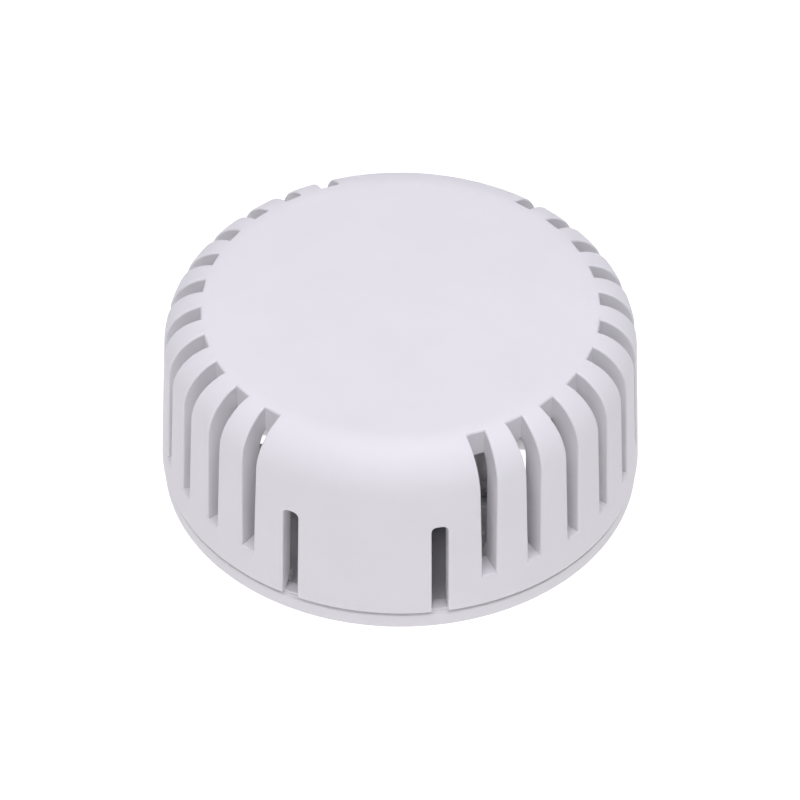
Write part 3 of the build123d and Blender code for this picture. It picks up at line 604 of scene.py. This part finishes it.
def keep_faces(mesh, wanted):
    """A copy of the mesh with only some of its faces."""
    copy = mesh.copy()
    unwanted = [face for face in copy.faces if not wanted(face)]
    bmesh.ops.delete(copy, geom=unwanted, context="FACES")
    return copy


def merge(mesh, skin):
    """Adds another skin's faces, with its sharp edges rounded, to a mesh."""
    bmesh.ops.recalc_face_normals(skin.mesh, faces=skin.mesh.faces)
    round_sharp_edges(skin.mesh, FITTING_EDGE)
    data = bpy.data.meshes.new("part")
    skin.mesh.to_mesh(data)
    skin.mesh.free()
    mesh.from_mesh(data)
    bpy.data.meshes.remove(data)


FITTING_Z = 1.9              # lower ends of the tongues and the tab's foot, inside the base plate
TAMPER_X, TAMPER_Y = 13.0, 31.0


def cover_fittings():
    """Locating tongues at the back, and the post that holds the tamper spring."""
    tongue_outer, tongue_inner, tongue_top_z = 47.9, 46.6, 10.3
    tongue_angle, tongue_half_angle = 22, 5
    post_radius, bore_radius = 3.4, 2.3
    post_foot_z, bore_end_z = 21.0, 24.0
    fin_reach, fin_half, fin_foot_z = 5.0, 0.6, 30.0
    ceiling = COVER_HEIGHT - SHELL + 0.2         # the post and its fins run a little way into the top
    skin = Skin()
    for side in (-1, 1):
        middle = 180 + side * tongue_angle
        sector_block(skin, tongue_outer, tongue_inner, FITTING_Z, tongue_top_z, middle, tongue_half_angle)
    lathe(skin, TAMPER_X, TAMPER_Y, [
        (post_radius, ceiling), (post_radius, post_foot_z), (bore_radius, post_foot_z),
        (bore_radius, bore_end_z), (0.0, bore_end_z),
    ])
    for half_x, half_y in ((fin_reach, fin_half), (fin_half, fin_reach)):
        x0, x1 = TAMPER_X - half_x, TAMPER_X + half_x
        y0, y1 = TAMPER_Y - half_y, TAMPER_Y + half_y
        block(skin, x0, x1, y0, y1, fin_foot_z, ceiling)
    return skin


def tab_foot():
    """The snap tab's foot, the nose that catches under the base plate's ledge, and the foot's root."""
    foot_outer, foot_inner = 47.6, 45.8
    nose_outer, nose_inner = 47.9, 46.2
    root_outer, root_inner = 48.6, 47.0
    root_top_z, nose_top_z = 8.0, 2.9
    half_angle, nose_half_angle = 12, 8
    skin = Skin()
    sector_block(skin, foot_outer, foot_inner, FITTING_Z, root_top_z, 0, half_angle)
    sector_block(skin, nose_outer, nose_inner, FITTING_Z, nose_top_z, 0, nose_half_angle)
    sector_block(skin, root_outer, root_inner, COVER_EDGE_Z, root_top_z, 0, half_angle)
    return skin


def make_cover(material):
    """The cover and the snap tab, cut apart at the tab's seam, where it bends."""
    whole = cover_mesh()
    cover = keep_faces(whole, lambda face: not is_tab_face(face))
    tab = keep_faces(whole, is_tab_face)
    whole.free()
    merge(cover, cover_fittings())
    merge(tab, tab_foot())
    cover_piece = to_object(cover, "cover_moulding", material)
    tab_piece = to_object(tab, "snap_tab_moulding", material)
    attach(cover_piece, "cover")
    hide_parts("cover")
    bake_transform(tab_piece)
    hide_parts("cover_snap_tab")


make_cover(FINISH["white_abs"])


# ---- Parts inside: places read from the frame -----------------------------------------------------
def islands(node):
    """The points, in millimetres, of each separate solid in a CAD node."""
    mesh = bmesh.new()
    mesh.from_mesh(frame["nodes"][node].data)
    bmesh.ops.remove_doubles(mesh, verts=mesh.verts, dist=WELD_GAP * MM)
    mesh.verts.index_update()
    seen = set()
    found = []
    for start in mesh.verts:
        if start.index in seen:
            continue
        seen.add(start.index)
        joined = [start]
        for vertex in joined:
            for edge in vertex.link_edges:
                other = edge.other_vert(vertex)
                if other.index not in seen:
                    seen.add(other.index)
                    joined.append(other)
        found.append([vertex.co / MM for vertex in joined])
    mesh.free()
    return found


def corners(points):
    """Lowest and highest corner of some points."""
    return [min(p[i] for p in points) for i in range(3)], [max(p[i] for p in points) for i in range(3)]


def tail(points):
    """The middle of the lowest end of a lead."""
    end_height = 0.05
    lowest = min(point.z for point in points)
    low, high = corners([point for point in points if point.z < lowest + end_height])
    return (low[0] + high[0]) / 2, (low[1] + high[1]) / 2


def finish_piece(skin, name, slot, width=0.0):
    """Makes a small piece that rides on the base, with a finish and, given a width, rounded edges."""
    if width:
        round_sharp_edges(skin.mesh, width)
    piece = to_object(skin.mesh, name, FINISH[slot])
    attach(piece, "base")


# ---- Parts inside: pieces -------------------------------------------------------------------------
def make_solder():
    """A fillet round every lead under the board, and round some of them on top of it too."""
    slim_share = 0.6                             # the transistors' leads are close together
    skin = Skin()
    low, high = (corner.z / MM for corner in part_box("circuit_board"))
    # Each fillet's profile, as radius and distance from the board.
    under = [(0.95, 0.0), (0.8, 0.16), (0.56, 0.46), (0.42, 0.9), (0.3, 1.12), (0.0, 1.2)]
    over = [(0.85, 0.0), (0.72, 0.14), (0.52, 0.34), (0.42, 0.62)]
    wired = ["coil_leads", "capacitor_leads", "transistor_leads", "tone_pins", "tamper_switch_legs"]
    for node in wired + ["terminal_contacts", "sounder_contacts"]:
        for points in islands(node):
            x, y = tail(points)
            share = slim_share if node == "transistor_leads" else 1.0
            lathe(skin, x, y, [(r * share, low - drop) for r, drop in under], steps=20)
            if node in ("transistor_leads", "sounder_contacts"):
                lathe(skin, x, y, [(r * share, high + rise) for r, rise in over], steps=20)
    finish_piece(skin, "solder_joints", "tinned")


def make_terminations():
    """Tinned ends and solder toes of the small surface-mounted parts."""
    proud, wrap = 0.025, 0.42                    # how far the tin stands off an end, and reaches along
    toe_root, toe_bend, toe_tip = 0.02, 0.3, 0.55
    toe_bend_height, toe_share = 0.12, 0.6
    skin = Skin()
    board_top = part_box("circuit_board")[1].z / MM
    for node in ("resistors", "small_capacitors", "diode"):
        for points in islands(node):
            low, high = corners(points)
            for x, out in ((low[0], -1), (high[0], 1)):
                x0, x1 = sorted((x + out * proud, x - out * wrap))
                block(skin, x0, x1, low[1] - proud, high[1] + proud, board_top, high[2] + proud)
                toe = [
                    (x + out * toe_root, board_top), (x + out * toe_tip, board_top),
                    (x + out * toe_bend, board_top + toe_bend_height),
                    (x + out * toe_root, board_top + toe_share * (high[2] - board_top)),
                ]
                sweep(skin, [[(px, py, pz) for px, pz in toe] for py in (low[1], high[1])])
    finish_piece(skin, "chip_terminations", "tinned", width=0.03)


def ring_outline(skin, outer, inner, z0, z1):
    """A raised printed line between two closed outlines."""
    lines = [[(x, y, z) for x, y in row] for row, z in ((outer, z0), (outer, z1), (inner, z1), (inner, z0))]
    for first, second in zip(lines, lines[1:]):
        skin.strip(first, second, closed=True)


def rectangle(low, high, grown):
    """An outline round two corners, at a distance."""
    x0, y0, x1, y1 = low[0] - grown, low[1] - grown, high[0] + grown, high[1] + grown
    return [(x0, y0), (x1, y0), (x1, y1), (x0, y1)]


def circle(x, y, radius, steps=40):
    """A round outline."""
    turns = [2 * math.pi * i / steps for i in range(steps)]
    return [(x + radius * math.cos(turn), y + radius * math.sin(turn)) for turn in turns]


def make_legend():
    """White printed outlines round the parts, where the board has room for them."""
    line, gap, toe_gap = 0.15, 0.35, 0.75        # the wider gap clears the solder toes
    sunk, raised = 0.01, 0.02
    housings = ("terminal_housing", "tamper_switch_body", "tone_header")
    chips = ("diode", "resistors", "small_capacitors")
    skin = Skin()
    back_y, top_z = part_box("circuit_board")[1].yz / MM
    cut_corner = max(abs(v.co.x) + v.co.y for v in frame["nodes"]["circuit_board"].data.vertices) / MM
    outlines = []
    for node in housings + chips:
        grown = toe_gap if node in chips else gap
        for points in islands(node):
            low, high = corners(points)
            outlines.append((rectangle(low, high, grown + line), rectangle(low, high, grown)))
    for node in ("coil_core", "capacitor_sleeve", "driver_transistors"):
        for points in islands(node):
            low, high = corners(points)
            radius = (high[0] - low[0]) / 2 + gap
            x, y = (low[0] + high[0]) / 2, high[1] + gap - radius
            outlines.append((circle(x, y, radius + line), circle(x, y, radius)))
    for outer, inner in outlines:
        if all(abs(x) + y < cut_corner - line and y < back_y - line for x, y in outer):
            ring_outline(skin, outer, inner, top_z - sunk, top_z + raised)
    finish_piece(skin, "board_legend", "sounder_white")


def make_winding():
    """The coil's outer layer of wire, turn by turn."""
    low, high = (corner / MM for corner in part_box("coil_winding"))
    x, y = (low.x + high.x) / 2, (low.y + high.y) / 2
    outer = (high.x - low.x) / 2
    core = 2.05                                  # just clear of the ferrite core's waist
    turns, turn_steps = 26, 5
    pitch = (high.z - low.z) / turns
    outline = [(core, low.z)]
    for i in range(turns):
        for step in range(turn_steps):
            part = math.pi * step / turn_steps
            sink = pitch / 2 * (1 - math.sin(part))
            rise = pitch * (i + (1 - math.cos(part)) / 2)
            outline.append((outer - sink, low.z + rise))
    outline += [(outer - pitch / 2, high.z), (core, high.z)]
    skin = Skin()
    lathe(skin, x, y, outline, steps=56, closed=True)
    piece = to_object(skin.mesh, "coil_turns", FINISH["copper_wire"], sharp=75.0)
    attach(piece, "base")
    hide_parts("coil_winding")


def make_stripe():
    """The pale stripe down the sleeve that marks the capacitor's negative side."""
    low, high = (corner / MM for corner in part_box("capacitor_sleeve"))
    x, y = (low.x + high.x) / 2, (low.y + high.y) / 2
    radius = (high.x - low.x) / 2
    half_thick, margin = 0.02, 0.4               # margin: clear of the sleeve's upper and lower edges
    first_turn, width, steps = -100, 40, 8       # degrees round the sleeve
    z0, z1 = low.z + margin, high.z - margin
    r0, r1 = radius - half_thick, radius + half_thick
    rows = []
    for i in range(steps + 1):
        turn = math.radians(first_turn + width * i / steps)
        edge = ((r0, z0), (r1, z0), (r1, z1), (r0, z1))
        rows.append([(x + r * math.cos(turn), y + r * math.sin(turn), z) for r, z in edge])
    skin = Skin()
    sweep(skin, rows)
    finish_piece(skin, "capacitor_stripe", "sounder_white")


# Width of the rounding on each CAD part's sharp edges, in millimetres.
EDGE_ROUNDING = {
    "base_plate": 0.15, "sounder_body": 0.15, "sounder_cap": 0.2, "terminal_housing": 0.12, "coil_core": 0.15,
    "tamper_switch_body": 0.1, "tamper_button": 0.15, "tone_header": 0.1, "tone_jumper": 0.12,
    "driver_transistors": 0.12, "driver_chip": 0.08, "board_screws": 0.12, "sounder_screws": 0.12,
    "circuit_board": 0.06, "diode": 0.06, "resistors": 0.03, "small_capacitors": 0.03,
    "terminal_contacts": 0.05, "chip_legs": 0.04, "tamper_switch_legs": 0.05, "sounder_seal": 0.1,
}
EDGE_ROUNDING.update({f"terminal_screw_{i}": 0.1 for i in range(1, 5)})
EDGE_ROUNDING.update({f"terminal_cage_{i}": 0.08 for i in range(1, 5)})


def dress_cad_parts():
    """Gives every CAD part its finish, and the parts listed in EDGE_ROUNDING a moulded or deburred rounding
    on their sharp edges.
    """
    for row in frame["record"]["subparts"]:
        part = frame["nodes"][row["node"]]
        slot = row["material_slot"]
        part.data.materials.clear()
        part.data.materials.append(FINISH[slot])
        if row["node"] in EDGE_ROUNDING:
            weld = part.modifiers.new("join", "WELD")
            weld.merge_threshold = WELD_GAP * MM
            flat = part.modifiers.new("flat_faces", "DECIMATE")
            flat.decimate_type = "DISSOLVE"
            flat.angle_limit = math.radians(1.0)
            rounding = part.modifiers.new("rounding", "BEVEL")
            rounding.width = EDGE_ROUNDING[row["node"]] * MM
            rounding.segments = 2
            rounding.limit_method = "ANGLE"
            rounding.angle_limit = math.radians(SHARP_TURN)
            rounding.use_clamp_overlap = True
            rounding.harden_normals = True


dress_cad_parts()
make_solder()
make_terminations()
make_legend()
make_winding()
make_stripe()


# ---- Stage: in metres -----------------------------------------------------------------------------
TINT = (1.0, 0.975, 1.06)            # the light leans a little to blue and red


def make_floor():
    """A pale floor that glows, and a wall far round it that shows behind low views and lights nothing."""
    mesh = bpy.data.meshes.new("floor")
    half = 3.0
    places = [(-half, -half, 0), (half, -half, 0), (half, half, 0), (-half, half, 0)]
    mesh.from_pydata(places, [], [(0, 1, 2, 3)])
    floor = bpy.data.objects.new("floor", mesh)
    bpy.context.collection.objects.link(floor)
    albedo, glow, glow_colour = 0.22, 1.03, (1.0, 0.98, 1.02, 1.0)
    material, _, shader = new_material("floor_white", (albedo, albedo, albedo), 0.9, specular=0.1)
    shader.inputs["Emission Color"].default_value = glow_colour
    shader.inputs["Emission Strength"].default_value = glow
    mesh.materials.append(material)
    wall = Skin()
    lathe(wall, 0.0, 0.0, [(half / MM, 0.0), (half / MM, half / MM)], steps=96)
    backdrop = to_object(wall.mesh, "backdrop", material, weighted=False)
    backdrop.visible_diffuse = False
    backdrop.visible_glossy = False


def make_area_light(name, place, target, size, power):
    """A round lamp turned towards a point."""
    light = bpy.data.lights.new(name, "AREA")
    light.shape = "DISK"
    light.size = size
    light.energy = power
    light.color = TINT
    lamp = bpy.data.objects.new(name, light)
    lamp.location = place
    lamp.rotation_euler = (Vector(target) - Vector(place)).to_track_quat("-Z", "Y").to_euler()
    bpy.context.collection.objects.link(lamp)


def make_lights():
    """Soft studio light from all round, strongest from above and in front."""
    world = bpy.data.worlds.new("studio")
    bpy.context.scene.world = world
    world.use_nodes = True
    sky = world.node_tree.nodes["Background"]
    sky.inputs["Color"].default_value = (*TINT, 1.0)
    sky.inputs["Strength"].default_value = 0.08
    middle = (0, 0, 0.02)
    make_area_light("overhead", (0.05, -0.1, 1.1), middle, size=1.0, power=11.2)
    make_area_light("front_box", (-0.2, -0.85, 0.95), middle, size=0.7, power=2.1)


def make_camera():
    """From above and slightly to the right of the snap tab, through a long lens."""
    azimuth, elevation, lean = math.radians(8.567), math.radians(42.59), math.radians(0.175)
    distance, shift_up, shift_left = 0.9277, 0.01261, 0.00007
    level = math.cos(elevation)
    back = Vector((math.sin(azimuth) * level, -math.cos(azimuth) * level, math.sin(elevation)))
    camera_data = bpy.data.cameras.new("camera")
    camera_data.sensor_width = 36.0
    camera_data.lens = 197.73
    camera_data.clip_start = 0.02
    camera = bpy.data.objects.new("camera", camera_data)
    bpy.context.collection.objects.link(camera)
    turn = (-back).to_track_quat("-Z", "Y").to_matrix()
    roll = Matrix.Rotation(lean, 3, "Z")
    up = turn @ Vector((0, 1, 0))
    right = turn @ Vector((1, 0, 0))
    place = back * distance + up * shift_up - right * shift_left
    camera.matrix_world = Matrix.Translation(place) @ (turn @ roll).to_4x4()
    bpy.context.scene.camera = camera


make_floor()
make_lights()
make_camera()
bpy.context.scene.view_settings.view_transform = "Standard"
